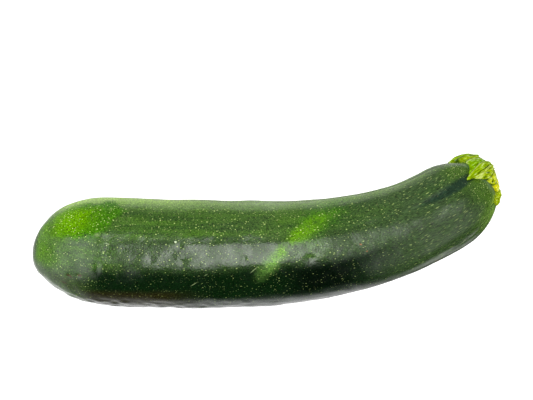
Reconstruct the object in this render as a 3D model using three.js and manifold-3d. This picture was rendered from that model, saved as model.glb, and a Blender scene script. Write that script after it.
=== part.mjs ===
// A courgette as picked: one long fruit, bent at the neck, with the short star-shaped stub of
// its stem. It lies on its side along +X, blossom end at -X, stem end at +X and bent toward +Y.
// Millimetres, +Z up, origin at the middle of the underside.

import * as THREE from "three";
import Module from "manifold-3d";

// ---- the fruit's curve -------------------------------------------------------------------
const FRUIT_LENGTH = 201.5; // along the curve, from the blossom tip to the stem's seat
const START_HEADING = -3; // degrees from +X at the blossom tip
const NECK_BEND = 49.7; // degrees turned between the tip and the seat
const BEND_POWER = 2.92; // how late along the fruit the bend comes
const SEAT_LIFT = 9; // degrees that the seat looks up
const LIFT_POWER = 12; // the lift comes in the last few centimetres
const TIP_SAG = 1.4; // the blossom end's sideways droop
const TIP_SAG_REACH = 6.5;
const CURVE_STEP = 0.5;

// ---- the fruit's girth -------------------------------------------------------------------
const BODY_RADIUS = 23.5;
const NECK_RADIUS = 19;
const TAPER_START = 65; // distances from the blossom tip
const TAPER_END = 196;
const BLOSSOM_CAP_LENGTH = 34;
const BLOSSOM_CAP_POWER = 1.86; // 2 is a true ellipse
const SCAR_DEPTH = 1.3; // the sunken blossom scar at the tip
const SCAR_RADIUS = 7;
const SHOULDER_LENGTH = 22; // the rounded shoulder before the stem's seat
const SHOULDER_POWER = 2.9;
const SEAT_RATIO = 0.57; // seat radius over neck radius
const CROWN_HEIGHT = 0.8; // the low dome under the stem

// ---- grooves between the five ribs -------------------------------------------------------
const GROOVE_ANGLES = [-6, 78, 146, 218, 290]; // degrees at the seat, 0 up, 90 toward -Y
const GROOVE_SHARES = [1, 0.65, 1, 1, 1]; // how deep each groove is beside the deepest
const RIB_TWIST = 13; // degrees that the ribs turn between the seat and the blossom tip
const GROOVE_ROUNDING = 0.06;
const SEAT_GROOVE = 0.2; // depth over radius at the stem
const SEAT_GROOVE_REACH = 22; // how far down the neck the deep grooves run
const SEAT_GROOVE_POWER = 1.3;
const BODY_GROOVE = 0.018; // depth over radius all along the fruit

// ---- the stem stub -----------------------------------------------------------------------
const STEM_GAP = 0.3;
const STEM_TIP_RADIUS = 15.2; // the star's tips, which lie in the fruit's grooves
const TIP_REACHES = [7.8, 5.8, 6, 6, 5.8]; // how far each ridge's tip reaches below the seat
const STEM_TIP_SHARPNESS = 1.7; // above 1 narrows the tips to points
const STEM_EDGE_RADIUS = 13.2; // the star's edge over the rib ends
const STEM_EDGE_REACH = 0.8;
const RIDGE_TOPS = [7.2, 3.2, 3.4, 5, 6.6]; // each ridge's cut end, above the seat
const FURROW_DROP = 0.6; // how far the rim dips between two ridges
const STEM_CUT_ANGLE = 60; // degrees up the dome where the stem was cut through
const STEM_TWIST = 11; // degrees that the ridges turn on their way up
const STEM_FACE_SINK = 1; // how far the cut face is dished
const STEM_ROOT_DEPTH = 3;

// ---- resting and mesh --------------------------------------------------------------------
const FLAT_DEPTH = 0.6; // how deep the resting flat cuts into the underside
const FRUIT_RINGS = 72;
const END_CROWDING = 0.35; // how much closer the rings stand at the ends
const SIDES = 50;
const CROWN_RINGS = 4;
const STEM_RINGS = 12;
const FACE_RINGS = 3;

const SKIN = { color: 0x2f5a26, roughness: 0.35, metalness: 0 };
const STEM = { color: 0x86b50e, roughness: 0.5, metalness: 0 };

const { clamp, degToRad, lerp, smoothstep } = THREE.MathUtils;
const UP = new THREE.Vector3(0, 0, 1);

// The fruit's axis as points CURVE_STEP apart, each with the direction it runs in.
function traceAxis() {
  const axis = [];
  const point = new THREE.Vector3();
  const steps = Math.round(FRUIT_LENGTH / CURVE_STEP);
  for (let i = 0; i <= steps; i++) {
    const share = i / steps;
    const heading = degToRad(START_HEADING + NECK_BEND * share ** BEND_POWER);
    const lift = degToRad(SEAT_LIFT * share ** LIFT_POWER);
    const along = new THREE.Vector3(Math.cos(heading), Math.sin(heading), 0)
      .multiplyScalar(Math.cos(lift))
      .addScaledVector(UP, Math.sin(lift));
    axis.push({ point: point.clone(), along });
    point.addScaledVector(along, CURVE_STEP);
  }
  return axis;
}

const AXIS = traceAxis();

// The round body's radius, before the ends close it.
function girth(distance) {
  return lerp(BODY_RADIUS, NECK_RADIUS, smoothstep(distance, TAPER_START, TAPER_END));
}

// How far the rounded ends have closed at this distance: 1 on the body, 0 at the tip.
function closing(distance) {
  const toTip = clamp(1 - distance / BLOSSOM_CAP_LENGTH, 0, 1);
  const toSeat = clamp(1 - (FRUIT_LENGTH - distance) / SHOULDER_LENGTH, 0, 1);
  const blossom = (1 - toTip ** BLOSSOM_CAP_POWER) ** (1 / BLOSSOM_CAP_POWER);
  return blossom * (1 - (1 - SEAT_RATIO) * toSeat ** SHOULDER_POWER);
}

// Where an angle lies between two grooves: the groove it follows and the share of the way.
function ribPlace(angle) {
  const turned = THREE.MathUtils.euclideanModulo(angle - GROOVE_ANGLES[0], 360) + GROOVE_ANGLES[0];
  const last = GROOVE_ANGLES.findLastIndex((groove) => groove <= turned);
  const next = GROOVE_ANGLES[last + 1] ?? GROOVE_ANGLES[0] + 360;
  const share = (turned - GROOVE_ANGLES[last]) / (next - GROOVE_ANGLES[last]);
  return { last, share };
}

// 1 at the bottom of a groove, 0 on the crest of a rib.
function groove(angle) {
  const swell = Math.sin(Math.PI * ribPlace(angle).share);
  return 1 - Math.hypot(swell, GROOVE_ROUNDING) / Math.hypot(1, GROOVE_ROUNDING);
}

// How far a groove pinches the skin at this angle: its own share of the deepest one.
function pinch(angle) {
  const { last, share } = ribPlace(angle);
  const nearest = share < 0.5 ? last : (last + 1) % GROOVE_SHARES.length;
  return groove(angle) * GROOVE_SHARES[nearest];
}

function grooveDepth(distance) {
  const fromSeat = (FRUIT_LENGTH - distance) / SEAT_GROOVE_REACH;
  return BODY_GROOVE + SEAT_GROOVE * Math.exp(-(fromSeat ** SEAT_GROOVE_POWER));
}

// The axis point, its direction and the two directions square to it. The axis rides at the
// height of the body's radius, so the underside runs level.
function frameAt(distance) {
  const place = clamp(distance / CURVE_STEP, 0, AXIS.length - 1);
  const before = Math.min(Math.floor(place), AXIS.length - 2);
  const point = AXIS[before].point.clone().lerp(AXIS[before + 1].point, place - before);
  const along = AXIS[before].along.clone().lerp(AXIS[before + 1].along, place - before).normalize();
  point.y -= TIP_SAG * Math.exp(-((distance / TIP_SAG_REACH) ** 2));
  point.z += girth(distance) - FLAT_DEPTH;
  const left = UP.clone().cross(along).normalize();
  const top = along.clone().cross(left);
  return { point, along, left, top };
}

// A point at an angle and radius round a frame, moved on along its axis.
function around(frame, angle, radius, onward = 0) {
  const turn = degToRad(angle);
  return frame.point
    .clone()
    .addScaledVector(frame.top, radius * Math.cos(turn))
    .addScaledVector(frame.left, -radius * Math.sin(turn))
    .addScaledVector(frame.along, onward);
}

// A ring of points. Its angles are counted from the first groove, so they turn with the ribs.
function ring(frame, twist, radiusAt, onwardAt) {
  return Array.from({ length: SIDES }, (_, side) => {
    const angle = GROOVE_ANGLES[0] + (side * 360) / SIDES;
    return around(frame, angle + twist, radiusAt(angle), onwardAt(angle));
  });
}

// A closed skin through rings of points, with a single point at each end.
function loft(wasm, startPoint, rings, endPoint) {
  const points = [startPoint, ...rings.flat(), endPoint];
  const triangles = [];
  const at = (row, side) => 1 + row * SIDES + (side % SIDES);
  const end = points.length - 1;
  for (let side = 0; side < SIDES; side++) {
    triangles.push(0, at(0, side + 1), at(0, side));
    triangles.push(end, at(rings.length - 1, side), at(rings.length - 1, side + 1));
    for (let row = 0; row + 1 < rings.length; row++) {
      triangles.push(at(row, side), at(row, side + 1), at(row + 1, side + 1));
      triangles.push(at(row, side), at(row + 1, side + 1), at(row + 1, side));
    }
  }
  const vertProperties = new Float32Array(points.flatMap((point) => point.toArray()));
  const triVerts = new Uint32Array(triangles);
  return new wasm.Manifold(new wasm.Mesh({ numProp: 3, vertProperties, triVerts }));
}

// The fruit's skin, swollen outward by `grow`.
function fruitBody(wasm, grow = 0) {
  const rings = [];
  for (let row = 1; row <= FRUIT_RINGS; row++) {
    const even = row / FRUIT_RINGS;
    const crowded = (1 - Math.cos(Math.PI * even)) / 2;
    const distance = FRUIT_LENGTH * lerp(even, crowded, END_CROWDING);
    const radius = girth(distance) * closing(distance);
    const dimple = SCAR_DEPTH * Math.exp(-((radius / SCAR_RADIUS) ** 2));
    const depth = grooveDepth(distance);
    const twist = RIB_TWIST * (1 - distance / FRUIT_LENGTH);
    const radiusAt = (angle) => radius * (1 - depth * pinch(angle)) + grow;
    rings.push(ring(frameAt(distance), twist, radiusAt, () => dimple));
  }
  const seat = frameAt(FRUIT_LENGTH);
  const seatRadius = NECK_RADIUS * SEAT_RATIO;
  const seatDepth = grooveDepth(FRUIT_LENGTH);
  for (let row = 1; row <= CROWN_RINGS; row++) {
    const turn = (row / (CROWN_RINGS + 1)) * (Math.PI / 2);
    const closed = Math.cos(turn);
    const radiusAt = (angle) => (seatRadius * (1 - seatDepth * pinch(angle)) + grow) * closed;
    rings.push(ring(seat, 0, radiusAt, () => (CROWN_HEIGHT + grow) * Math.sin(turn)));
  }
  const tip = around(frameAt(0), 0, 0, SCAR_DEPTH - grow);
  return loft(wasm, tip, rings, around(seat, 0, 0, CROWN_HEIGHT + grow));
}

// Each ridge has its own value of a thing, which eases into the next ridge's.
function ridgeValue(values, angle) {
  const { last, share } = ribPlace(angle);
  return lerp(values[last], values[(last + 1) % values.length], smoothstep(share, 0, 1));
}

// The height of the cut rim above the seat, which dips between two ridges.
function rimLevel(angle) {
  return ridgeValue(RIDGE_TOPS, angle) - FURROW_DROP * (1 - groove(angle));
}

// The star-shaped stub before the fruit is taken out of it: five ridges over the grooves,
// domed up from their tips to the cut face.
function stemBody(wasm) {
  const seat = frameAt(FRUIT_LENGTH);
  const tipShare = (angle) => groove(angle) ** STEM_TIP_SHARPNESS;
  const edgeRadius = (angle) => lerp(STEM_EDGE_RADIUS, STEM_TIP_RADIUS, tipShare(angle));
  const edgeLevel = (angle) =>
    -lerp(STEM_EDGE_REACH, ridgeValue(TIP_REACHES, angle), tipShare(angle));
  const cut = degToRad(STEM_CUT_ANGLE);
  const rings = [];
  for (let row = 0; row <= STEM_RINGS; row++) {
    const way = row / STEM_RINGS;
    const rise = Math.sin(cut * way) / Math.sin(cut);
    const radiusAt = (angle) => edgeRadius(angle) * Math.cos(cut * way);
    const levelAt = (angle) => lerp(edgeLevel(angle), rimLevel(angle), rise);
    rings.push(ring(seat, STEM_TWIST * way, radiusAt, levelAt));
  }
  const meanTop = RIDGE_TOPS.reduce((sum, top) => sum + top) / RIDGE_TOPS.length;
  const faceLevel = meanTop - STEM_FACE_SINK;
  for (let row = 1; row <= FACE_RINGS; row++) {
    const outward = 1 - row / (FACE_RINGS + 1);
    const radiusAt = (angle) => edgeRadius(angle) * Math.cos(cut) * outward;
    const levelAt = (angle) => lerp(faceLevel, rimLevel(angle), outward ** 2);
    rings.push(ring(seat, STEM_TWIST, radiusAt, levelAt));
  }
  const root = around(seat, 0, 0, -STEM_ROOT_DEPTH);
  return loft(wasm, root, rings, around(seat, 0, 0, faceLevel));
}

function toMesh(solid, name, finish) {
  const { vertProperties, triVerts } = solid.getMesh();
  const geometry = new THREE.BufferGeometry();
  geometry.setAttribute("position", new THREE.BufferAttribute(vertProperties, 3));
  geometry.setIndex(new THREE.BufferAttribute(triVerts, 1));
  geometry.computeVertexNormals();
  const mesh = new THREE.Mesh(geometry, new THREE.MeshStandardMaterial(finish));
  mesh.name = name;
  return mesh;
}

// Everything below z = 0 is cut away, which leaves the flat that the fruit rests on.
const wasm = await Module();
wasm.setup();
const fruit = fruitBody(wasm).trimByPlane([0, 0, 1], 0);
const stem = stemBody(wasm).subtract(fruitBody(wasm, STEM_GAP));

const courgette = new THREE.Group();
courgette.name = "courgette";
courgette.add(toMesh(fruit, "fruit", SKIN), toMesh(stem, "stem_stub", STEM));

const bounds = new THREE.Box3().setFromObject(courgette);
const middle = bounds.getCenter(new THREE.Vector3());
for (const piece of courgette.children) {
  piece.geometry.translate(-middle.x, -middle.y, -bounds.min.z);
}

export default courgette;
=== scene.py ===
"""Dresses the courgette: the fruit, the stub of its stem and the studio they lie in.

Metres, +Z up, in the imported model's frame. Distances run from the blossom tip to the stem's
seat. Angles round the fruit are in degrees, 0 up and 90 toward -Y at the seat, and turn with
the ribs.
"""

import logging
import math
from dataclasses import dataclass
from enum import Enum

import bpy
import numpy as np
from bpy.types import ID, Material, NodeOutputs, NodeSocket, NodeTree, Object
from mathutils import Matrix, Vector


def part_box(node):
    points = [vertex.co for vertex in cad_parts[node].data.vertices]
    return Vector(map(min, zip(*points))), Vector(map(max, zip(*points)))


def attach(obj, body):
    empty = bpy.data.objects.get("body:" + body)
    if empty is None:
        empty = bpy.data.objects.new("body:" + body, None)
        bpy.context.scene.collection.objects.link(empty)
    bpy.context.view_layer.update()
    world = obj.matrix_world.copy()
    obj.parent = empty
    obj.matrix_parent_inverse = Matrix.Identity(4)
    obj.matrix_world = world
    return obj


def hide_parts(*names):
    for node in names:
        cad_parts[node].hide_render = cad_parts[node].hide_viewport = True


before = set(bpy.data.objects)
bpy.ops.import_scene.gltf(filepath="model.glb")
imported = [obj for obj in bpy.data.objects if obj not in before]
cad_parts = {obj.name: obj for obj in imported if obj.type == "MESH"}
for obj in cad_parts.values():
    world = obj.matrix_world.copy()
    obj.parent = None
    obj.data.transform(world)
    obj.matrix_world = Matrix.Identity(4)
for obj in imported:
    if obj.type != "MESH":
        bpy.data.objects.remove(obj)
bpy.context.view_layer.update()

MM = 0.001
# How many rings, crown rings and sides the solid fruit was built with.
SOLID_COUNTS = (200, 2, 120)
BAKE_MAP = "OFBake"
STRAIGHT = "straight"
DRAWN = "drawn"
GROOVE_SHADE = "hollow"
LOBE = "lobe"
EASED = {"interpolation_type": "SMOOTHSTEP"}
Colour = tuple[float, float, float, float]
Span = tuple[float, float]
# A range's low and high, and what they turn into.
Curve = tuple[float, float, float, float]
Grid = np.ndarray
log = logging.getLogger("courgette")


def linear(code: str) -> Colour:
    """Turns an sRGB hex colour into the linear one that nodes take.

    Args:
        code: the colour as "#rrggbb".

    Returns:
        Linear red, green, blue and an alpha of 1.
    """
    shares = [int(code[i : i + 2], 16) / 255 for i in (1, 3, 5)]
    red, green, blue = (c / 12.92 if c <= 0.04045 else ((c + 0.055) / 1.055) ** 2.4 for c in shares)
    return red, green, blue, 1.0


def add(tree: NodeTree, kind: str, inputs: dict | tuple = (), **settings: object) -> NodeOutputs:
    """Adds a shader node.

    Args:
        tree: the tree it goes into.
        kind: the node's type, without its "ShaderNode".
        inputs: a socket to link or a value for each input, by name or number, or in order.
        settings: the node's own settings.

    Returns:
        The new node's outputs.
    """
    node = tree.nodes.new("ShaderNode" + kind)
    for name, value in settings.items():
        setattr(node, name, value)
    for key, value in inputs.items() if isinstance(inputs, dict) else enumerate(inputs):
        if isinstance(value, NodeSocket):
            tree.links.new(value, node.inputs[key])
        else:
            node.inputs[key].default_value = value
    return node.outputs


def lay(tree: NodeTree, colour: NodeSocket | Colour, layers: list[tuple[str, NodeSocket]]) -> NodeSocket:
    """Lays colours over one another.

    Args:
        tree: the tree the layers go into.
        colour: what they are laid on.
        layers: each colour as "#rrggbb", and how strongly it covers what is under it, 0 to 1.

    Returns:
        The colour that shows.
    """
    for code, cover in layers:
        colour = add(tree, "Mix", {0: cover, 6: colour, 7: linear(code)}, data_type="RGBA")[2]
    return colour


def blank(name: str) -> tuple[Material, NodeTree]:
    """Makes a material whose tree has no nodes yet."""
    material = bpy.data.materials.new(name)
    material.use_nodes = True
    material.node_tree.nodes.clear()
    return material, material.node_tree


def put(name: str, data: ID) -> Object:
    """Puts a mesh or a camera into the scene."""
    thing = bpy.data.objects.new(name, data)
    bpy.context.scene.collection.objects.link(thing)
    return thing


def smooth(value: Grid, low: float, high: float) -> Grid:
    """Eases from 0 at low to 1 at high, level at both ends."""
    share = np.clip((value - low) / (high - low), 0, 1)
    return share * share * (3 - 2 * share)


def mix(start: Grid | float, end: Grid | float, share: Grid | float) -> Grid:
    """Goes from start to end by a share of the way."""
    return start + (end - start) * share


def outward(grid: Grid) -> Grid:
    """Finds the unit normals of a closed sleeve of points, rows by sides by 3."""
    along = np.gradient(grid, axis=0)
    round_it = np.roll(grid, -1, axis=1) - np.roll(grid, 1, axis=1)
    normal = np.cross(round_it, along)
    return normal / np.maximum(np.linalg.norm(normal, axis=2, keepdims=True), 1e-12)


def sleeve(name: str, grid: Grid, ends: Grid, patterns: dict[str, Grid]) -> Object:
    """Makes a closed mesh through rings of points, with a single point at each end.

    Args:
        name: the piece's name.
        grid: the rings' points, rows by sides by 3.
        ends: the first and last point.
        patterns: what the material reads at the rings' points, by name: a number or three each.

    Returns:
        The mesh object, smooth, with its patterns and a map for baking.
    """
    rows, sides = grid.shape[:2]
    points = np.vstack([ends[:1], grid.reshape(-1, 3), ends[1:]])
    row, side = np.meshgrid(np.arange(rows - 1), np.arange(sides), indexing="ij")
    corner = 1 + row * sides + side
    beside = 1 + row * sides + (side + 1) % sides
    quads = np.stack([corner, beside, beside + sides, corner + sides], 2).reshape(-1, 4)
    ring = np.arange(sides)
    turned = (ring + 1) % sides
    last = 1 + (rows - 1) * sides
    start = np.stack([np.zeros_like(ring), 1 + turned, 1 + ring], 1)
    end = np.stack([np.full_like(ring, len(points) - 1), last + ring, last + turned], 1)
    mesh = bpy.data.meshes.new(name)
    mesh.from_pydata(points.tolist(), [], quads.tolist() + start.tolist() + end.tolist())
    mesh.polygons.foreach_set("use_smooth", np.ones(len(mesh.polygons), bool))

    low, high = (row + 1) / (rows + 1), (row + 2) / (rows + 1)
    left, right = side / sides, (side + 1) / sides
    quad_map = np.stack([low, left, low, right, high, right, high, left], 2).reshape(-1, 2)
    here, middle, beyond = ring / sides, (ring + 0.5) / sides, (ring + 1) / sides
    near, far = np.full_like(middle, 1 / (rows + 1)), np.full_like(middle, rows / (rows + 1))
    start_map = np.stack([0 * middle, middle, near, beyond, near, here], 1)
    end_map = np.stack([0 * middle + 1, middle, far, here, far, beyond], 1)
    places = np.vstack([quad_map, start_map.reshape(-1, 2), end_map.reshape(-1, 2)])
    layer = mesh.uv_layers.new(name=BAKE_MAP)
    layer.data.foreach_set("uv", places.astype(np.float32).ravel())

    for title, values in patterns.items():
        values = values.reshape(rows, sides, -1)
        values = np.vstack([values[0].mean(0), *values, values[-1].mean(0)]).astype(np.float32)
        wide = values.shape[1] == 3
        field = mesh.attributes.new(title, "FLOAT_VECTOR" if wide else "FLOAT", "POINT")
        field.data.foreach_set("vector" if wide else "value", values.ravel())
    mesh.update()
    return put(name, mesh)


@dataclass(frozen=True)
class Swell:
    """Seeded random waves, for a surface that is never quite even.

    The wavelength is in millimetres and the height in metres, and `stretch` is how much longer
    the waves run along the fruit than round it.
    """

    wavelength: float
    seed: int
    height: float
    stretch: float = 1.0
    waves: int = 36
    spread: Span = (0.7, 1.5)

    def at(self, coords: Grid) -> Grid:
        """Adds up the waves.

        Args:
            coords: pattern coordinates in millimetres, with x along the fruit.

        Returns:
            How high each point is, with `height` as the root mean square.
        """
        rng = np.random.default_rng(self.seed)
        ways = rng.normal(size=(self.waves, 3))
        ways /= np.linalg.norm(ways, axis=1, keepdims=True)
        ways *= 2 * math.pi / (self.wavelength * rng.uniform(*self.spread, (self.waves, 1)))
        ways[:, 0] /= self.stretch
        phases = rng.uniform(0, 2 * math.pi, self.waves)
        return self.height * np.cos(coords @ ways.T + phases).sum(-1) * math.sqrt(2 / self.waves)


@dataclass(frozen=True)
class Dent:
    """A small hollow in the skin, or a swelling where its depth is below 0. Millimetres."""

    distance: float
    angle: float
    length: float
    width: float
    depth: float


class Tint(Enum):
    """The colours of the rind and of the marks on it, some of them painted light and shade."""

    DEEP = "#2c4918"
    LEAFY = "#40621c"
    NECK = "#344a26"
    DUSK = "#2c431c"
    FLANK = "#668a36"
    BLOSSOM = "#426a0c"
    NIGHT = "#061b06"
    GROOVE = "#1f3423"
    STEM_END = "#3c5a18"
    LIME = "#568600"
    LEAF = "#386a04"
    OLIVE = "#1d1c08"
    TAN = "#8a9a6a"
    RUST = "#9a6238"
    PALE = "#c9d8b0"
    SUNNY = "#98c04c"
    SAGE = "#5f8a38"
    BLACK = "#030d04"
    RIM = "#5a7452"
    SHADE = "#2a3f1b"
    FLECK = "#d2e888"
    SCAR = "#3a2f14"
    CORK = "#84744a"


class Way(Enum):
    """The two ways across the unrolled skin."""

    ALONG = 0
    ROUND = 1


ALONG, ROUND = Way

@dataclass(frozen=True)
class Zone:
    """A broad stretch of the rind in one tint.

    Each edge goes from bare to covered between two places: millimetres along the fruit, or
    angles round it. `flecks` is how strongly the rind's flecks show there, and `gloss` how much
    of the wax's shine is left.
    """

    tint: Tint
    flecks: float
    edges: tuple[tuple[Way, float, float], ...]
    gloss: float = 1.0


# Zones of one side fade out before the underside, where the way round the fruit starts again.
FRONT_END = (ROUND, 172, 115)
BACK_END = (ROUND, -172, -120)

ZONES = (
    # Painted shade: a darker band under the sheen, where the lower flank begins to turn from the light.
    Zone(Tint.DUSK, 0.5, ((ROUND, -14, 0), (ROUND, 50, 30), (ALONG, 30, 45))),
    # The neck's grey-green is partly its wax bloom and partly painted sheen, a soft reflection laid into
    # the colour.
    Zone(Tint.NECK, 0.56, ((ALONG, 122, 168),)),
    # Painted light: the upper flank and its edge are paler where light falls on the top.
    Zone(Tint.FLANK, 0.5, ((ROUND, -36, -66), BACK_END)),
    Zone(Tint.SUNNY, 0.5, ((ROUND, -49, -74), (ROUND, -150, -88), (ALONG, 2, 12), (ALONG, 98, 34))),
    Zone(Tint.BLOSSOM, 0.5, ((ALONG, 19, 5),), 0.8),
    # Painted shade: darker on the lower side of the blossom end and at its very tip.
    Zone(Tint.DUSK, 0.4, ((ROUND, 12, 46), (ALONG, 30, 12), FRONT_END)),
    Zone(Tint.DUSK, 0.4, ((ALONG, 6, 2.5),), 0.7),
    Zone(Tint.STEM_END, 0.9, ((ALONG, 178, 196),)),
    # Painted shade: the flank turned from the light is painted nearly black from the blossom end to the
    # neck, partly over its own darker green.
    Zone(Tint.NIGHT, 0.18, ((ALONG, 14, 34), (ALONG, 196, 130), (ROUND, 15, 32), FRONT_END)),
    # Painted shade, deepest where the shaded flank runs toward the neck.
    Zone(Tint.BLACK, 0.15, (
        (ALONG, 103, 116), (ALONG, 142, 126), (ROUND, 24, 36), (ROUND, 70, 58),
    ), 0.4),
    Zone(Tint.SHADE, 0.25, ((ALONG, 136, 168), (ALONG, 196, 184), (ROUND, -2, 14), FRONT_END)),
    # Painted light: the lower shoulder by the stem is paler where light bounces up from the white table.
    Zone(Tint.FLANK, 0.9, ((ALONG, 180, 202), (ROUND, 36, 76), FRONT_END)),
    Zone(Tint.OLIVE, 0.15, (
        (ALONG, 16, 32), (ALONG, 80, 55), (ROUND, 46, 56), (ROUND, 100, 66),
    ), 0.35),
    Zone(Tint.RIM, 0.2, ((ALONG, 197.5, 200.5),), 0.6),
)


@dataclass(frozen=True)
class Mark:
    """A patch, speck or scratch on the skin: an ellipse on the unrolled skin, in millimetres.

    `slant` turns its length off the fruit's axis, in degrees toward rising angles, `soft` is the
    share of its radius over which it fades, `gloss` how much of the wax's shine is left, and
    `flecks` how strongly the rind's flecks show on a patch.
    """

    distance: float
    angle: float
    length: float
    width: float
    tint: Tint
    strength: float = 1.0
    slant: float = 0.0
    soft: float = 0.6
    gloss: float = 1.0
    flecks: float = 0.9


PATCHES = (
    Mark(27, -34, 35, 25, Tint.LEAF, 0.95, -25, 0.3, 0.4),
    Mark(18.5, -36.5, 34, 31, Tint.LIME, 1, -12, 0.75, 0.15),
    Mark(19, 48, 28, 16, Tint.OLIVE, 0.55, 0, 1, 0.9, 0.2),
    # Painted shade: a darker band on the upper side of the neck's groove.
    Mark(178, -19, 34, 10, Tint.DEEP, 0.5, 6, 1),
    Mark(92, -22, 50, 24, Tint.NECK, 0.55, 0, 1),
    Mark(126, -28, 48, 20, Tint.LEAF, 0.9, -34, 0.9),
    Mark(118, -14, 34, 12, Tint.LIME, 1, -34, 1, 0.8),
    Mark(112.5, -3, 24, 11, Tint.LIME, 0.95, -38, 1, 0.8),
    # Painted sheen: a pale streak along the top edge.
    Mark(117, -71, 32, 10, Tint.PALE, 0.18, 0, 1),
    # Painted highlight: the first sage patch brightens the sheen's right end; the second, the lime
    # stripe's lower end, is its own paler green with painted sheen in it.
    Mark(117, 7, 26, 16, Tint.SAGE, 0.35, 0, 1),
    Mark(103, 18, 29, 11, Tint.SAGE, 0.7, -46, 1, 0.8),
    Mark(106.5, 8, 26, 9, Tint.LIME, 0.8, -42, 1, 0.45),
    # Painted shade along the neck's groove, over its own deeper green.
    Mark(183, -3, 34, 4.4, Tint.GROOVE, 0.9, 8, 0.6, 0.5, 0.1),
    Mark(173, 12, 24, 9, Tint.NECK, 0.5, 0, 1, 0.25, 0.4),
    Mark(180, 15, 15, 9, Tint.NECK, 0.6, 0, 1, 0.1, 0.4),
    Mark(145, 15, 28, 11, Tint.NECK, 0.5, 0, 1, 0.3, 0.5),
)

SPECKS = (
    Mark(31, -11.5, 3.6, 2.6, Tint.TAN, 0.4, 0, 0.8),
    # Painted highlights: a pale blotch and a small glint on the sheen's upper edge.
    Mark(35.3, -2.5, 2.6, 1, Tint.PALE, 0.25, 20, 0.8),
    Mark(63.3, -5, 1.3, 0.9, Tint.PALE, 1, 0, 0.5),
    Mark(19.7, 36.5, 3.6, 1.5, Tint.SCAR, 1, 20),
    Mark(24.2, 33.5, 3, 1.7, Tint.SCAR, 0.9, -15),
    Mark(17.2, 49, 3.6, 1.2, Tint.SCAR, 0.8, 10, 0.7),
    Mark(138.4, 15, 1.6, 0.7, Tint.RUST, 0.8, 40),
    Mark(140.2, 24.5, 1.2, 0.7, Tint.RUST, 0.6),
    Mark(167, 88, 2, 0.9, Tint.RUST, 0.8),
    Mark(70.8, 40, 4.2, 0.5, Tint.TAN, 0.45, -38),
    Mark(75.7, 29.5, 2.2, 0.5, Tint.TAN, 0.4, -30),
    Mark(94.8, 26.5, 5, 0.5, Tint.TAN, 0.6, -42),
)


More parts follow.
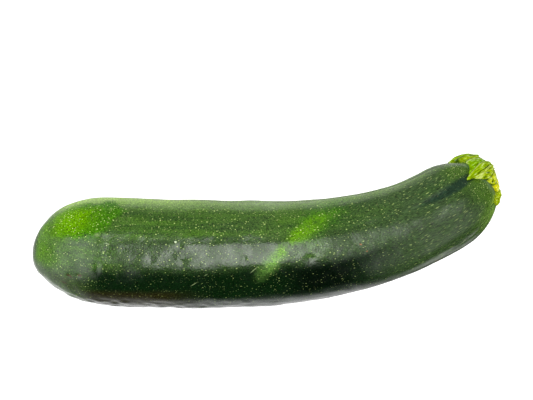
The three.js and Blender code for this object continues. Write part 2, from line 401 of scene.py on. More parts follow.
@dataclass(frozen=True)
class FruitShape:
    """The fruit's form: rounded rings set square to a bent axis and pinched by five grooves."""

    length: float = 201.5 * MM
    step: float = 0.5 * MM
    start_heading: float = -3.0
    neck_bend: float = 49.7
    bend_power: float = 2.92
    seat_lift: float = 9.0
    lift_power: float = 12.0
    tip_sag: float = 1.4 * MM
    tip_sag_reach: float = 6.5 * MM
    body_radius: float = 23.5 * MM
    neck_radius: float = 19.0 * MM
    taper: Span = (65.0 * MM, 196.0 * MM)
    cap_length: float = 34.0 * MM
    cap_power: float = 1.86
    scar_depth: float = 1.3 * MM
    scar_radius: float = 7.0 * MM
    shoulder_length: float = 22.0 * MM
    shoulder_power: float = 2.9
    seat_ratio: float = 0.57
    crown_height: float = 0.8 * MM
    groove_angles: tuple[float, ...] = (-6.0, 78.0, 146.0, 218.0, 290.0)
    groove_shares: tuple[float, ...] = (1.0, 0.65, 1.0, 1.0, 1.0)
    rib_twist: float = 13.0
    groove_rounding: float = 0.06
    seat_groove: float = 0.2
    seat_groove_reach: float = 22.0 * MM
    seat_groove_power: float = 1.3
    body_groove: float = 0.018
    flat_depth: float = 0.6 * MM
    spacing_steps: int = 6000

    def girth(self, distance: Grid) -> Grid:
        """Gives the round body's radius, before the ends close it."""
        return mix(self.body_radius, self.neck_radius, smooth(distance, *self.taper))

    def radius(self, distance: Grid) -> Grid:
        """Gives the ring's radius over a rib's crest, with the rounded ends closed."""
        to_tip = np.clip(1 - distance / self.cap_length, 0, 1)
        to_seat = np.clip(1 - (self.length - distance) / self.shoulder_length, 0, 1)
        blossom = (1 - to_tip**self.cap_power) ** (1 / self.cap_power)
        shoulder = 1 - (1 - self.seat_ratio) * to_seat**self.shoulder_power
        return self.girth(distance) * blossom * shoulder

    def rib_place(self, angle: Grid) -> tuple[Grid, Grid]:
        """Says which groove an angle follows, and its share of the way to the next."""
        first = self.groove_angles[0]
        stops = np.array([*self.groove_angles, first + 360])
        turned = np.mod(angle - first, 360) + first
        last = np.clip(np.searchsorted(stops, turned, side="right") - 1, 0, len(stops) - 2)
        return last, (turned - stops[last]) / (stops[last + 1] - stops[last])

    def groove(self, angle: Grid) -> Grid:
        """Gives 1 at the bottom of a groove and 0 on the crest of a rib."""
        swell = np.sin(np.pi * self.rib_place(angle)[1])
        return 1 - np.hypot(swell, self.groove_rounding) / math.hypot(1, self.groove_rounding)

    def pinch(self, angle: Grid) -> Grid:
        """Gives how far a groove pinches the skin: its own share of the deepest one."""
        last, share = self.rib_place(angle)
        nearest = np.where(share < 0.5, last, (last + 1) % len(self.groove_shares))
        return self.groove(angle) * np.array(self.groove_shares)[nearest]

    def groove_depth(self, distance: Grid) -> Grid:
        """Gives the grooves' depth as a share of the radius."""
        from_seat = np.maximum(self.length - distance, 0) / self.seat_groove_reach
        return self.body_groove + self.seat_groove * np.exp(-(from_seat**self.seat_groove_power))

    def frame_at(self, distance: Grid) -> tuple[Grid, Grid, Grid, Grid]:
        """Finds the axis and the directions at each distance.

        Args:
            distance: how far along the fruit, in metres.

        Returns:
            The axis point, the way it runs, and the left and the top square to it.
        """
        share = np.linspace(0, 1, round(self.length / self.step) + 1)
        heading = np.radians(self.start_heading + self.neck_bend * share**self.bend_power)
        lift = np.radians(self.seat_lift * share**self.lift_power)
        ways = np.stack(
            [np.cos(heading) * np.cos(lift), np.sin(heading) * np.cos(lift), np.sin(lift)], 1
        )
        stops = np.vstack([np.zeros(3), np.cumsum(ways[:-1] * self.step, axis=0)])
        place = np.clip(distance / self.length, 0, 1)
        point, along = (
            np.stack([np.interp(place, share, row) for row in path.T], 1) for path in (stops, ways)
        )
        along /= np.linalg.norm(along, axis=1, keepdims=True)
        point[:, 1] -= self.tip_sag * np.exp(-((distance / self.tip_sag_reach) ** 2))
        point[:, 2] += self.girth(distance) - self.flat_depth
        left = np.cross([0.0, 0.0, 1.0], along)
        left /= np.linalg.norm(left, axis=1, keepdims=True)
        return point, along, left, np.cross(along, left)

    def around(self, distance: Grid, angle: Grid, radius: Grid, onward: Grid) -> Grid:
        """Sets points round the axis.

        Args:
            distance: the rows' distances along the fruit.
            angle: the angle of each point, rows by sides.
            radius: how far each point is from the axis.
            onward: how far it is moved on along the axis.

        Returns:
            The points, rows by sides by 3.
        """
        point, along, left, top = (part[:, None] for part in self.frame_at(distance))
        turn = np.radians(angle)[..., None]
        across = top * np.cos(turn) - left * np.sin(turn)
        return point + across * radius[..., None] + along * onward[..., None]

    def rows(self, count: int) -> Grid:
        """Spaces rows evenly over the curved side, from just off the tip to the seat."""
        fine = self.length * (1 - np.cos(np.linspace(0, np.pi / 2, self.spacing_steps + 1)))
        run = np.hypot(np.diff(fine), np.diff(self.radius(fine)))
        travelled = np.concatenate([[0], np.cumsum(run)])
        return np.interp(np.linspace(0, travelled[-1], count + 1)[1:], travelled, fine)

    def skin(self, rows: int, crown_rows: int, sides: int) -> tuple[Grid, Grid]:
        """Lays out the smooth skin.

        Args:
            rows: how many rings from the tip to the seat.
            crown_rows: how many more close the crown under the stem.
            sides: how many points each ring has.

        Returns:
            The points, and pattern coordinates in millimetres: the distance along the fruit, then
            the place in its cross-section with the ribs' twist taken out.
        """
        distance = np.concatenate([self.rows(rows), np.full(crown_rows, self.length)])
        rib = np.broadcast_to(np.arange(sides) * 360 / sides, (len(distance), sides))
        round_radius = self.radius(distance)[:, None]
        radius = round_radius * (1 - self.groove_depth(distance)[:, None] * self.pinch(rib))
        dimple = self.scar_depth * np.exp(-((round_radius / self.scar_radius) ** 2))
        turn = (np.arange(crown_rows) + 1)[:, None] / (crown_rows + 1) * np.pi / 2
        radius[rows:] *= np.cos(turn)
        rise = np.vstack([np.zeros((rows, 1)), self.crown_height * np.sin(turn)])
        dimple[rows:] = 0
        twist = self.rib_twist * (1 - distance / self.length)[:, None]
        points = self.around(distance, rib + twist, radius, dimple + rise)
        depth, angle = np.broadcast_arrays(distance[:, None] + rise, np.radians(rib))
        return points, np.stack([depth, radius * np.cos(angle), radius * np.sin(angle)], 2) / MM


@dataclass(frozen=True)
class SkinFinish:
    """Courgette skin: a thin, waxy, hard rind over green flesh, left as it grew.

    The wax gives a soft, broken gloss; the rind under it runs from dark to leaf green, with
    painted shade making the flank turned from the light near-black and painted light paling
    its top, peppered with yellow-green flecks that stretch toward the stem. Lengths are in
    millimetres, and a fleck's size is its radius over their spacing.
    """

    ior: float = 1.5
    roughness: Curve = (0.3, 0.7, 0.12, 0.23)
    shine: Curve = (0.35, 0.65, 0.36, 0.62)
    streak_width: float = 3.0
    streak_draw: float = 0.1
    streak_cover: Curve = (0.35, 0.65, 0.0, 1.0)
    stray: float = 3.5
    stray_width: float = 10.0
    grain_width: float = 0.45
    grain_levels: Curve = (0.3, 0.7, 0.35, 1.65)
    fleck_spacing: float = 1.05
    fleck_size: float = 0.26
    fleck_strength: float = 0.65
    speck_spacing: float = 0.8
    speck_size: float = 0.25
    speck_rise: Curve = (160.0, 180.0, 0.5, 0.95)
    smallest_size: float = 0.13
    rarity: float = 2.5
    absence: float = 0.04
    edge_hardness: float = 2.5
    pore_width: float = 0.8
    pore_depth: float = 0.065
    wave_width: float = 3.4
    wave_depth: float = 0.08
    cloud_width: float = 7.0
    scar_rings: tuple[tuple[Tint, float, float], ...] = ((Tint.CORK, 1.5, 1.0), (Tint.SCAR, 0.25, 0.1))
    scar_shown: Span = (0.05, 0.15)
    groove_shade_shown: Span = (0.1, 0.5)

    def arc(self, angle: float) -> float:
        """Turns an angle into millimetres round the unrolled skin."""
        return math.radians(angle) * FruitShape.body_radius / MM

    def flecks(self, tree: NodeTree, coords: NodeSocket, spacing: float, size: float) -> NodeSocket:
        """Scatters round flecks of mixed sizes.

        Args:
            tree: the material's nodes.
            coords: the pattern's coordinates, in millimetres.
            spacing: the mean distance between flecks.
            size: the largest fleck's radius over the spacing.

        Returns:
            1 inside a fleck, fading to 0 outside.
        """
        cells = add(tree, "TexVoronoi", {"Vector": coords, "Scale": 1 / spacing})
        chance = add(tree, "SeparateColor", {"Color": cells["Color"]})[0]
        rare = add(tree, "Math", (chance, self.rarity), operation="POWER")[0]
        radius = add(tree, "MapRange", (rare, self.absence, 1, self.smallest_size, size))[0]
        inward = (cells["Distance"], radius, 0, 0, self.edge_hardness)
        edge = add(tree, "MapRange", inward)[0]
        return add(tree, "Math", (edge, 1.0), operation="MINIMUM")[0]

    def mark(self, tree: NodeTree, place: NodeSocket, spot: Mark) -> NodeSocket:
        """Shapes one mark.

        Args:
            tree: the material's nodes.
            place: the place on the unrolled skin, in millimetres.
            spot: the mark.

        Returns:
            How strongly it covers the skin, 0 to its strength.
        """
        centre = (spot.distance, self.arc(spot.angle), 0)
        turn = (0, 0, math.radians(spot.slant))
        size = (spot.length / 2, spot.width / 2, 1)
        local = add(tree, "Mapping", (place, centre, turn, size), vector_type="TEXTURE")[0]
        reach = add(tree, "VectorMath", (local,), operation="LENGTH")["Value"]
        return add(tree, "MapRange", (reach, 1, 1 - spot.soft, 0, spot.strength), **EASED)[0]

    def zone(self, tree: NodeTree, places: NodeOutputs, zone: Zone) -> NodeSocket:
        """Shapes one zone.

        Args:
            tree: the material's nodes.
            places: how far along and how far round the unrolled skin, in millimetres.
            zone: the zone.

        Returns:
            How strongly it covers the skin, 0 to 1.
        """
        cover = 1.0
        for way, bare, full in zone.edges:
            if way is ROUND:
                bare, full = self.arc(bare), self.arc(full)
            cover = add(tree, "MapRange", (places[way.value], bare, full, 0, cover), **EASED)[0]
        return cover

    def ground(self, tree: NodeTree, straight: NodeSocket, flat: NodeSocket) -> tuple[NodeSocket, ...]:
        """Colours the rind before its flecks.

        Args:
            tree: the material's nodes.
            straight: the pattern's coordinates.
            flat: the place on the unrolled skin, in millimetres.

        Returns:
            The colour, how strongly flecks show on it, and how much of the wax's shine is left.
        """
        # The zones and patches stray a little, so their edges are uneven.
        slow = {"Vector": straight, "Scale": 1 / self.stray_width, "Detail": 3.0}
        wander = (add(tree, "TexNoise", slow)["Color"], (0.5, 0.5, 0.5))
        offset = add(tree, "VectorMath", wander, operation="SUBTRACT")[0]
        shift = add(tree, "VectorMath", {0: offset, "Scale": self.stray}, operation="SCALE")[0]
        ragged = add(tree, "VectorMath", (flat, shift), operation="ADD")[0]
        draw = (self.streak_draw, 1, 1)
        drawn = add(tree, "VectorMath", (straight, draw), operation="MULTIPLY")[0]
        streaks = {"Vector": drawn, "Scale": 1 / self.streak_width, "Detail": 4.0}
        streak = add(tree, "TexNoise", streaks)[0]
        leafy = add(tree, "MapRange", (streak, *self.streak_cover), **EASED)[0]

        places = add(tree, "SeparateXYZ", (ragged,))
        layers = [(zone.tint, self.zone(tree, places, zone), zone.flecks, zone.gloss) for zone in ZONES]
        # Painted shade in the neck's grooves, over their own deeper green.
        hollow = add(tree, "Attribute", attribute_name=GROOVE_SHADE)["Fac"]
        layers.append((Tint.GROOVE, hollow, *self.groove_shade_shown))
        # The blossom's scar is a corky disc in the dimple, darker where the style stood.
        depth = add(tree, "SeparateXYZ", (straight,))[0]
        for tint, bare, full in self.scar_rings:
            disc = add(tree, "MapRange", (depth, bare, full))[0]
            layers.append((tint, disc, *self.scar_shown))
        for spot in PATCHES:
            layers.append((spot.tint, self.mark(tree, ragged, spot), spot.flecks, spot.gloss))

        colour = lay(tree, linear(Tint.DEEP.value), [(Tint.LEAFY.value, leafy)])
        colour = lay(tree, colour, [(tint.value, cover) for tint, cover, *_ in layers])
        shown, gloss = self.fleck_strength, 1.0
        for _, cover, *rest in layers:
            shown, gloss = (
                add(tree, "Mix", {0: cover, 2: under, 3: over}, data_type="FLOAT")[0]
                for under, over in zip((shown, gloss), rest)
            )
        return colour, shown, gloss

    def wax(self, tree: NodeTree, straight: NodeSocket, gloss: NodeSocket) -> dict[str, NodeSocket]:
        """Lays the wax: pores under a millimetre wide over shallow waves, glossier in places."""
        pores, waves, clouds = (
            add(tree, "TexNoise", {"Vector": straight, "Scale": 1 / width, "Detail": detail})[0]
            for width, detail in ((self.pore_width, 3), (self.wave_width, 2), (self.cloud_width, 2))
        )
        normal = {}
        for height, depth in ((waves, self.wave_depth), (pores, self.pore_depth)):
            bump = {"Height": height, "Distance": depth * MM, "Strength": 1.0, **normal}
            normal = {"Normal": add(tree, "Bump", bump)[0]}
        rough = add(tree, "MapRange", (waves, *self.roughness))[0]
        patchy = add(tree, "MapRange", (clouds, *self.shine))[0]
        shine = add(tree, "Math", (patchy, gloss), operation="MULTIPLY")[0]
        return {"Roughness": rough, "Specular IOR Level": shine, **normal}

    def build(self) -> Material:
        """Makes the rind's material."""
        material, tree = blank("waxy_courgette_rind")
        straight = add(tree, "Attribute", attribute_name=STRAIGHT)["Vector"]
        drawn = add(tree, "Attribute", attribute_name=DRAWN)["Vector"]
        along, up, near = add(tree, "SeparateXYZ", (straight,))
        angle = add(tree, "Math", (near, up), operation="ARCTAN2")[0]
        arc = add(tree, "Math", (angle, FruitShape.body_radius / MM), operation="MULTIPLY")[0]
        flat = add(tree, "CombineXYZ", (along, arc))[0]
        colour, shown, gloss = self.ground(tree, straight, flat)

        # The rind's own grain.
        grain = {"Vector": drawn, "Scale": 1 / self.grain_width, "Detail": 2.0}
        speckle = add(tree, "TexNoise", grain)[0]
        level = add(tree, "MapRange", (speckle, *self.grain_levels))[0]
        colour = add(tree, "VectorMath", {0: colour, "Scale": level}, operation="SCALE")[0]

        # Flecks, with finer specks between them that are stronger by the stem.
        flecks = self.flecks(tree, drawn, self.fleck_spacing, self.fleck_size)
        specks = self.flecks(tree, drawn, self.speck_spacing, self.speck_size)
        thick = add(tree, "MapRange", (along, *self.speck_rise))[0]
        fainter = add(tree, "Math", (specks, thick), operation="MULTIPLY")[0]
        both = add(tree, "Math", (flecks, fainter), operation="MAXIMUM")[0]
        cover = add(tree, "Math", (both, shown), operation="MULTIPLY")[0]
        colour = lay(tree, colour, [(Tint.FLECK.value, cover)])
        colour = lay(tree, colour, [(spot.tint.value, self.mark(tree, flat, spot)) for spot in SPECKS])
        wax = self.wax(tree, straight, gloss)
        shader = add(tree, "BsdfPrincipled", {"Base Color": colour, "IOR": self.ior, **wax})[0]
        add(tree, "OutputMaterial", {"Surface": shader})
        return material


@dataclass
class Fruit:
    """The fruit in its skin, one piece from the blossom scar to the crown under the stem."""

    shape: FruitShape = FruitShape()
    finish: SkinFinish = SkinFinish()
    rows: int = 425
    crown_rows: int = 10
    sides: int = 224
    inset: float = 0.27 * MM
    slow: Swell = Swell(15, 3, 0.115 * MM, 1.3)
    quick: Swell = Swell(5.5, 8, 0.03 * MM, 1.2)
    ripple: Swell = Swell(5.4, 14, 0.12 * MM, 1.2)
    ripple_angles: Span = (61.0, 77.0)
    ripple_end: Span = (130.0, 40.0)
    ripple_sink: float = 0.18 * MM
    ridge_angle: float = -2.0
    ridge_fall: float = 0.35 * MM
    ridge_width: float = 12.0
    ridge_start: Span = (24.0, 38.0)
    groove_width: float = 11.0
    groove_reach: Span = (155.0, 187.0)
    groove_fade: Span = (0.0, 0.7)
    groove_least: Span = (0.6, 1.0)
    fleck_draw: Span = (0.7, 0.22)
    fleck_slim: float = 0.65
    fleck_draw_reach: Span = (115.0, 175.0)
    dents: tuple[Dent, ...] = (
        Dent(53.6, 13, 2.4, 1.8, 0.25), Dent(65.1, -0.5, 2, 1.6, 0.2),
        Dent(66.4, 16, 2.2, 1.8, 0.2), Dent(91.1, 13.5, 2.6, 3.4, 0.25),
        Dent(117.3, 19.5, 4.4, 3, 0.4), Dent(112, -4, 34, 9, -0.25),
        Dent(31.6, 23, 2.4, 4.4, 0.3), Dent(19.7, 36.5, 2.2, 1.6, 0.4),
        Dent(23.7, 34, 2, 1.6, 0.4), Dent(20, 75, 5, 3, 0.25),
        Dent(38, 74, 4, 3, 0.3), Dent(53, 79, 5, 3, 0.3),
        Dent(74, 80, 5, 3, 0.25), Dent(166, 78, 44, 9, -0.5),
    )

    def relief(self, coords: Grid) -> Grid:
        """Gives how far each point stands out from the smooth skin, in metres."""
        along, angle = coords[..., 0], np.degrees(np.arctan2(coords[..., 2], coords[..., 1]))
        height = self.slow.at(coords) + self.quick.at(coords)
        # The shaded flank is lumpier low down.
        lumpy = smooth(angle, *self.ripple_angles) * smooth(along, *self.ripple_end)
        height += lumpy * (self.ripple.at(coords) - self.ripple_sink)
        # A low ridge runs along the top, and the skin falls away behind it.
        past = np.clip((self.ridge_angle - angle) / self.ridge_width, 0, 12)
        height -= self.ridge_fall * past * np.exp(-past) * smooth(along, *self.ridge_start)
        per_degree = math.radians(1) * self.shape.body_radius / MM
        for dent in self.dents:
            across = (angle - dent.angle) * per_degree / (dent.width / 2)
            lengthwise = (along - dent.distance) / (dent.length / 2)
            height -= dent.depth * MM * np.exp(-(across**2) - lengthwise**2)
        return height

    def hollow(self, coords: Grid) -> Grid:
        """Gives how strongly painted shade, over the grooves' own deeper green, darkens the neck's
        grooves at each point, 0 to 1.
        """
        angle = np.degrees(np.arctan2(coords[..., 2], coords[..., 1]))
        cover = np.zeros_like(angle)
        for groove, share in zip(self.shape.groove_angles, self.shape.groove_shares):
            off = np.abs(np.mod(angle - groove + 180, 360) - 180) / self.groove_width
            reach = smooth(coords[..., 0], *self.groove_reach)
            dark = smooth(reach - off, *self.groove_fade) * smooth(share, *self.groove_least)
            cover = np.maximum(cover, dark)
        return cover

    def drawn(self, coords: Grid) -> Grid:
        """Gives pattern coordinates in which the flecks stretch toward the stem."""
        stops = np.linspace(0, self.shape.length / MM + 5, 500)
        pull = mix(*self.fleck_draw, smooth(stops, *self.fleck_draw_reach))
        travelled = np.cumsum(pull) * (stops[1] - stops[0])
        slimmer = 1 + self.fleck_slim * smooth(coords[..., 0], *self.fleck_draw_reach)
        drawn = coords * slimmer[..., None]
        drawn[..., 0] = np.interp(coords[..., 0], stops, travelled)
        return drawn

    def build(self, shift: Grid) -> Object:
        """Builds and dresses the fruit.

        Args:
            shift: where the raw shape's zero lies in the frame.

        Returns:
            The fruit's mesh object.
        """
        grid, coords = self.shape.skin(self.rows, self.crown_rows, self.sides)
        grid = grid + outward(grid) * (self.relief(coords) - self.inset)[..., None] + shift
        grid[..., 2] = np.maximum(grid[..., 2], 0)
        ends = np.stack([grid[0].mean(0), grid[-1].mean(0)])
        patterns = {STRAIGHT: coords, DRAWN: self.drawn(coords), GROOVE_SHADE: self.hollow(coords)}
        piece = sleeve("fruit_skin", grid, ends, patterns)
        piece.data.materials.append(self.finish.build())
        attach(piece, "root")
        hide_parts("fruit")
        return piece


@dataclass(frozen=True)
class StemFinish:
    """A cut courgette stem: juicy fibre that swells in lobes, moist where it was cut.

    It is bright lime green, yellower where a lobe has ripened, with painted shade in the creases
    between lobes, painted highlights along their rims and painted glints among its wet specks.
    """

    lime: str = "#729a00"
    ripe: str = "#c4c400"
    # Painted shade in the creases between lobes, painted highlight on the rims, and painted glints.
    crease_shade: str = "#274a0a"
    rim: str = "#b4c26a"
    glint_colour: str = "#e6edb8"
    ior: float = 1.45
    roughness: float = 0.28
    fibre_width: float = 0.55
    fibre_depth: float = 0.14
    full_rise: float = 0.9
    fibre_levels: Curve = (0.35, 0.65, 0.5, 1.35)
    glint_cover: Curve = (0.61, 0.67, 0.0, 0.5)
    wetness: Curve = (0.52, 0.64, 0.02, 0.9)

    def build(self) -> Material:
        """Makes the stem's material."""
        material, tree = blank("moist_stem_fibre")
        straight = add(tree, "Attribute", attribute_name=STRAIGHT)["Vector"]
        lobe = add(tree, "Attribute", attribute_name=LOBE)["Vector"]
        unshaded, ripeness, rim = add(tree, "SeparateXYZ", (lobe,))
        noise = {"Vector": straight, "Scale": 1 / self.fibre_width, "Detail": 3.0}
        fibres = add(tree, "TexNoise", noise)[0]
        # Painted glints: pale specks on the highest fibres stand in for wet highlights, and only specks
        # of the surface are wet.
        levels, painted_glints, wet = (
            add(tree, "MapRange", (fibres, *curve))[0]
            for curve in (self.fibre_levels, self.glint_cover, self.wetness)
        )
        raised = add(tree, "MapRange", (unshaded, 0, self.full_rise), **EASED)[0]
        flesh = lay(tree, linear(self.lime), [(self.ripe, ripeness)])
        flesh = add(tree, "VectorMath", {0: flesh, "Scale": levels}, operation="SCALE")[0]
        # Painted highlight: pale along the lobes' left rims and on knob tops, with the painted glints.
        flesh = lay(tree, flesh, [(self.rim, rim), (self.glint_colour, painted_glints)])
        # Painted shade: dark green in the creases between lobes, on their shaded sides and in the pits.
        shade_cover = add(tree, "Math", (1.0, raised), operation="SUBTRACT")[0]
        flesh = lay(tree, flesh, [(self.crease_shade, shade_cover)])
        bump = {"Height": fibres, "Distance": self.fibre_depth * MM, "Strength": 1.0}
        skin = {"Base Color": flesh, "Roughness": self.roughness, "IOR": self.ior}
        gleam = {"Specular IOR Level": wet, "Normal": add(tree, "Bump", bump)[0]}
        shader = add(tree, "BsdfPrincipled", {**skin, **gleam})[0]
        add(tree, "OutputMaterial", {"Surface": shader})
        return material


@dataclass(frozen=True)
class Lobe:
    """A fleshy lobe of the stem, which runs from the star's edge up to the cut.

    Angles and half-widths are in degrees at the seat, the bulge in millimetres. The ripeness is
    how yellow the lobe has turned, the lumps how knobbly it is and the brim how bright a painted
    highlight lies along its left edge, 0 to 1. A lobe with more bulge laps over its neighbours.
    """

    edge_angle: float
    rim_angle: float
    edge_width: float
    rim_width: float
    bulge: float
    ripeness: float = 0.0
    lumps: float = 0.3
    rim_highlight: float = 0.3

    def profile(self, angle: Grid, way: Grid) -> Grid:
        """Gives the lobe's rounded cross-section: 1 along its middle, 0 outside it."""
        centre = mix(self.edge_angle, self.rim_angle, way)
        width = mix(self.edge_width, self.rim_width, way)
        off = (np.mod(angle - centre + 180, 360) - 180) / width
        return np.sqrt(np.clip(1 - off**2, 0, 1))


@dataclass
class StemStub:
    """The stub of the stem: five ridges whose tips lie in the fruit's grooves, cut off above."""

    fruit: FruitShape = FruitShape()
    finish: StemFinish = StemFinish()
    tip_radius: float = 15.2 * MM
    tip_reaches: tuple[float, ...] = (7.8 * MM, 5.8 * MM, 6 * MM, 6 * MM, 5.8 * MM)
    tip_sharpness: float = 1.7
    edge_radius: float = 13.2 * MM
    edge_reach: float = 0.8 * MM
    ridge_tops: tuple[float, ...] = (7.2 * MM, 3.2 * MM, 3.4 * MM, 5.0 * MM, 6.6 * MM)
    furrow_drop: float = 0.6 * MM
    cut_angle: float = 60.0
    twist: float = 11.0
    face_sink: float = 1.0 * MM
    root_depth: float = 3.0 * MM
    rows: int = 84
    face_rows: int = 26
    sides: int = 330
    lobes: tuple[Lobe, ...] = (
        Lobe(-72, -70, 24, 18, 1.7, 0.1, 0.5, 0.6), Lobe(-53, -52, 15, 11, 1.62, 0.2, 0.5, 0.5),
        Lobe(-24, -37, 17, 12, 1.6, 0, 0.3, 1), Lobe(-6.5, -18, 5, 11, 1.8, 0.15, 0.1, 1),
        Lobe(11, 8, 13, 13, 1.65, 0.3, 1), Lobe(30, 26, 14, 12, 1.7, 0.6, 1),
        Lobe(46, 42, 14, 12, 1.75, 1, 0.9), Lobe(67, 60, 18, 16, 1.7, 0.35, 1),
        Lobe(96, 86, 14, 16, 1.2, 0.1), Lobe(120, 114, 16, 18, 1.4, 0.3),
        Lobe(146, 142, 18, 18, 1.6, 0.4, 0.6), Lobe(176, 174, 18, 18, 1.2),
        Lobe(206, 202, 16, 18, 1.4, 0.2, 0.8), Lobe(226, 224, 14, 14, 1.6, 0.3),
        Lobe(252, 254, 18, 18, 1.2, 0, 0.6),
    )
    lap: float = 0.45
    fibre_draw: float = 3.2
    lump: Swell = Swell(2.4, 12, 0.28 * MM)
    lump_draw: float = 2.2
    wrinkle: Swell = Swell(1.2, 21, 0.05 * MM)
    face_reach: Span = (1.0, 1.2)
    face_drop: float = 0.7 * MM
    face_risen: float = 0.6
    side_drop: float = 0.1 * MM
    # How the painted shade and painted highlight fall on the lobes.
    shade: float = 0.45
    shade_profile: Span = (0.95, 0.3)
    crease_gap: Span = (0.0, 0.4)
    crease_fill: float = 0.3
    pit_risen: float = 0.25
    pit_reach: Span = (-0.55 * MM, -0.1 * MM)
    rim_gap: Span = (0.1, 0.3)
    rim_profile: Span = (0.95, 0.7)
    knob_highlight: float = 0.7
    knob_reach: Span = (0.2 * MM, 0.45 * MM)

    def ridge_value(self, values: tuple[float, ...], angle: Grid) -> Grid:
        """Eases from each ridge's own value to the next one's."""
        last, share = self.fruit.rib_place(angle)
        steps = np.array(values)
        return mix(steps[last], steps[(last + 1) % len(steps)], smooth(share, 0, 1))

    def rim_level(self, angle: Grid) -> Grid:
        """Gives the cut rim's height above the seat."""
        dip = self.furrow_drop * (1 - self.fruit.groove(angle))
        return self.ridge_value(self.ridge_tops, angle) - dip

    def layout(self) -> tuple[Grid, Grid, Grid, Grid]:
        """Lays out the stub before its lobes.

        Returns:
            Each point's angle at the edge, share of the way to the rim, radius and level over the
            seat. Past the rim the way counts on over the cut face.
        """
        ring = np.arange(self.sides) * 360 / self.sides
        way = np.concatenate(
            [np.linspace(0, 1, self.rows), 1 + np.linspace(0, 1, self.face_rows + 1)[1:-1]]
        )
        angle, way = np.broadcast_arrays(ring, way[:, None])
        tip = self.fruit.groove(angle) ** self.tip_sharpness
        edge_radius = mix(self.edge_radius, self.tip_radius, tip)
        edge_level = -mix(self.edge_reach, self.ridge_value(self.tip_reaches, angle), tip)
        cut = math.radians(self.cut_angle)
        side = np.minimum(way, 1)
        out = np.clip(2 - way, 0, 1)
        rim = self.rim_level(angle)
        side_level = mix(edge_level, rim, np.sin(cut * side) / math.sin(cut))
        face_level = sum(self.ridge_tops) / len(self.ridge_tops) - self.face_sink
        level = np.where(way > 1, mix(face_level, rim, out**2), side_level)
        return angle, way, edge_radius * np.cos(cut * side) * out, level

    def relief(self, angle: Grid, way: Grid) -> tuple[Grid, Grid, Grid]:
        """Raises the lobes and their wrinkles.

        Args:
            angle: each point's angle at the edge, in degrees.
            way: its share of the way to the rim, counting on over the cut face.

        Returns:
            The height in metres, none above 0; how free each point is of painted shade, how ripe it is
            and how bright a painted highlight lies on it, 0 to 1 each; and pattern coordinates.
        """
        side = np.minimum(way, 1)
        profiles = np.stack([lobe.profile(angle, side) for lobe in self.lobes])
        bulges = np.array([lobe.bulge for lobe in self.lobes])[:, None, None]
        heights = bulges * np.where(profiles > 0, mix(self.lap, 1, profiles), 0)
        order = np.argsort(heights, axis=0)
        below, height = np.take_along_axis(heights, order[-2:], 0)
        own = np.take_along_axis(profiles, order[-1:], 0)[0]
        traits = np.array([(lobe.ripeness, lobe.lumps, lobe.rim_highlight) for lobe in self.lobes])
        ripeness, lumps, rim_highlight = np.moveaxis(traits[order[-1]], -1, 0)
        turn = np.radians(angle)
        reach = self.edge_radius / MM
        coords = np.stack([reach * np.cos(turn), reach * np.sin(turn), way * self.fibre_draw], -1)
        rough = lumps * smooth(own, 0, 0.8) * self.lump.at(coords * (1, 1, self.lump_draw))
        rough += self.wrinkle.at(coords)
        face = smooth(way, *self.face_reach)
        gap = height - below
        leftward = np.roll(height, 4, axis=1) < height
        # Painted shade darkens each lobe's right side, the creases between lobes and the pits between
        # knobs.
        shaded = self.shade * smooth(own, *self.shade_profile) * ~leftward
        crease_shade = mix(smooth(gap, *self.crease_gap) * (1 - shaded), 1, self.crease_fill * lumps)
        pit_shade = mix(self.pit_risen, 1, smooth(rough, *self.pit_reach))
        unshaded = mix(crease_shade, self.face_risen, face) * pit_shade
        # Painted highlight: a pale rim on each lobe's left edge, and pale knob tops.
        rim = rim_highlight * smooth(gap, *self.rim_gap) * smooth(own, *self.rim_profile) * leftward
        knob_glint = self.knob_highlight * lumps * smooth(rough, *self.knob_reach)
        rim = np.maximum(rim, knob_glint) * (1 - face)
        side_level = (height - bulges.max()) * MM + rough - self.side_drop
        sunk = mix(side_level, rough - self.face_drop, face)
        return np.minimum(sunk, 0), np.stack([unshaded, ripeness, rim], -1), coords

    def build(self, shift: Grid) -> Object:
        """Builds and dresses the stub.

        Args:
            shift: where the raw shape's zero lies in the frame.

        Returns:
            The stub's mesh object.
        """
        angle, way, radius, level = self.layout()
        seat = np.full(len(angle), self.fruit.length)
        grid = self.fruit.around(seat, angle + self.twist * np.minimum(way, 1), radius, level)
        height, lobe, coords = self.relief(angle, way)
        grid = grid + outward(grid) * height[..., None] + shift
        root = self.fruit.around(
            seat[:1], np.zeros((1, 1)), np.zeros((1, 1)), np.full((1, 1), -self.root_depth)
        )
        ends = np.stack([root[0, 0] + shift, grid[-1].mean(0)])
        piece = sleeve("stem_stub_skin", grid, ends, {STRAIGHT: coords, LOBE: lobe})
        piece.data.materials.append(self.finish.build())
        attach(piece, "root")
        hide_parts("stem_stub")
        return piece


class Axis(Enum):
    """The directions that a panel's edges are measured along: right, up and to the camera."""

    RIGHT = (1.0, 0.0, 0.0)
    UP = (0.0, 1.0, 0.0)
    CAMERA = (0.0, 0.0, 1.0)
    CORNER = (0.93, 0.37, 0.0)


RIGHT, UP, CAMERA, CORNER = Axis

@dataclass(frozen=True)
class Panel:
    """A soft-edged light: its radiance, and edges that go from dark to lit along an axis."""

    radiance: float
    edges: tuple[tuple[Axis, float, float], ...]


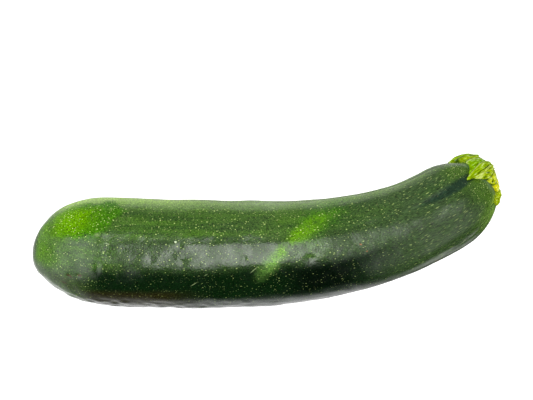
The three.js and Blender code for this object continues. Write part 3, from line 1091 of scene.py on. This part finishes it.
@dataclass
class Studio:
    """A white sweep in a room of soft panels, dark where none of them reaches."""

    target: tuple[float, float, float] = (-1.3 * MM, 13.5 * MM, 22.0 * MM)
    elevation: float = 72.0
    distance: float = 636.6 * MM
    lens: float = 100.0
    dark_radiance: float = 0.012
    fill: float = 0.6
    floor_size: float = 8.0
    floor_tint: str = "#d8d8d8"
    floor_glow: float = 0.75
    panels: tuple[Panel, ...] = (
        # The softbox over the camera, and its dimmer outer part.
        Panel(5, (
            (RIGHT, 0.335, 0.275), (RIGHT, -0.1, -0.03), (UP, -0.38, -0.31), (UP, 0.5, 0.44),
            (CAMERA, 0, 0.2), (CORNER, 0.4, 0.34),
        )),
        Panel(1.1, (
            (RIGHT, 0.05, 0.2), (RIGHT, 0.66, 0.4), (UP, -0.5, -0.3), (UP, 0.8, 0.3),
            (CAMERA, -0.3, 0.1),
        )),
        # The wall behind.
        Panel(0.2, ((UP, 0.15, 0.5),)),
        Panel(0.5, ((UP, 0.2, 0.4), (CAMERA, 0, -0.45))),
        Panel(0.9, ((UP, 0.2, 0.4), (CAMERA, 0, -0.45), (RIGHT, -0.1, 0.08))),
        Panel(0.85, ((UP, 0.55, 0.8), (CAMERA, -0.1, -0.45), (RIGHT, -0.4, 0))),
        # The walls at both sides, brighter than the room but dimmer than the softbox.
        Panel(2.2, (
            (RIGHT, -0.14, -0.4), (RIGHT, -1.1, -0.7), (UP, -0.98, -0.4), (UP, 0.5, 0.36),
            (CAMERA, -1, 0.1),
        )),
        Panel(1, ((RIGHT, 0.3, 0.72), (RIGHT, 1.2, 0.65), (UP, 0.5, -0.4), (CAMERA, -0.45, 0.25))),
        # The white table, seen from above, and its far corner.
        Panel(1.1, ((CAMERA, -0.15, -0.85), (CORNER, 0.14, -0.1), (UP, 0.4, 0.1))),
        Panel(0.9, (
            (CAMERA, -0.5, -0.72), (RIGHT, 0.26, 0.4), (RIGHT, 0.6, 0.5), (UP, -0.3, -0.45),
        )),
    )

    def toward(self, axis: Axis) -> Vector:
        """Turns an axis into a direction in the frame."""
        rise = math.radians(self.elevation)
        right, up, camera = axis.value
        sine, cosine = math.sin(rise), math.cos(rise)
        return Vector((right, up * sine - camera * cosine, up * cosine + camera * sine))

    def camera(self) -> None:
        """Sets the camera."""
        data = bpy.data.cameras.new("camera")
        data.lens = self.lens
        data.sensor_width = 36.0
        camera = put("camera", data)
        toward = self.toward(CAMERA)
        camera.location = Vector(self.target) + toward * self.distance
        camera.rotation_euler = (-toward).to_track_quat("-Z", "Y").to_euler()
        bpy.context.scene.camera = camera

    def room(self) -> None:
        """Lights the room with soft-edged panels, placed by how far a direction looks each way."""
        world = bpy.data.worlds.new("studio")
        bpy.context.scene.world = world
        world.use_nodes = True
        tree = world.node_tree
        tree.nodes.clear()
        way = add(tree, "TexCoord")["Generated"]
        shares = {
            axis: add(tree, "VectorMath", (way, self.toward(axis)), operation="DOT_PRODUCT")["Value"]
            for axis in Axis
        }
        glow = self.dark_radiance
        for panel in self.panels:
            lit = panel.radiance
            for axis, low, high in panel.edges:
                lit = add(tree, "MapRange", (shares[axis], low, high, 0, lit), **EASED)[0]
            glow = add(tree, "Math", (glow, lit), operation="MAXIMUM")[0]
        ray = add(tree, "LightPath")
        # The even fill is too far round the room for the wax to mirror.
        fill = (ray["Is Diffuse Ray"], self.fill, glow)
        filled = add(tree, "Math", fill, operation="MULTIPLY_ADD")[0]
        shown = add(tree, "Mix", {0: ray["Is Camera Ray"], 2: filled, 3: 1.0}, data_type="FLOAT")[0]
        sky = add(tree, "Background", {"Color": (1, 1, 1, 1), "Strength": shown})[0]
        add(tree, "OutputWorld", {"Surface": sky})

    def floor(self) -> None:
        """Lays the white floor, which glows a little so that shadows stay faint."""
        half = self.floor_size / 2
        corners = [(-half, -half, 0), (half, -half, 0), (half, half, 0), (-half, half, 0)]
        mesh = bpy.data.meshes.new("floor")
        mesh.from_pydata(corners, [], [(0, 1, 2, 3)])
        floor = put("floor", mesh)
        material, tree = blank("white_sweep")
        paper = {"Base Color": linear(self.floor_tint), "Roughness": 1.0, "Specular IOR Level": 0.0}
        glow = {"Emission Color": (1, 1, 1, 1), "Emission Strength": self.floor_glow}
        add(tree, "OutputMaterial", {"Surface": add(tree, "BsdfPrincipled", {**paper, **glow})[0]})
        mesh.materials.append(material)
        floor.visible_glossy = False

    def build(self) -> None:
        """Sets up the camera, the lights and the floor."""
        self.camera()
        self.room()
        self.floor()
        bpy.context.scene.view_settings.view_transform = "Standard"


def main() -> None:
    """Builds the studio and the courgette, and reports each piece."""
    logging.basicConfig(level=logging.INFO, format="%(name)s: %(message)s")
    Studio().build()
    shape = FruitShape()
    raw = shape.skin(*SOLID_COUNTS)[0]
    low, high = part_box("fruit")
    shift = np.array([low.x - raw[..., 0].min(), low.y - raw[..., 1].min(), 0.0])
    for piece in (Fruit(shape).build(shift), StemStub(shape).build(shift)):
        log.info("%s: %d faces", piece.name, len(piece.data.polygons))


if __name__ == "__main__":
    main()
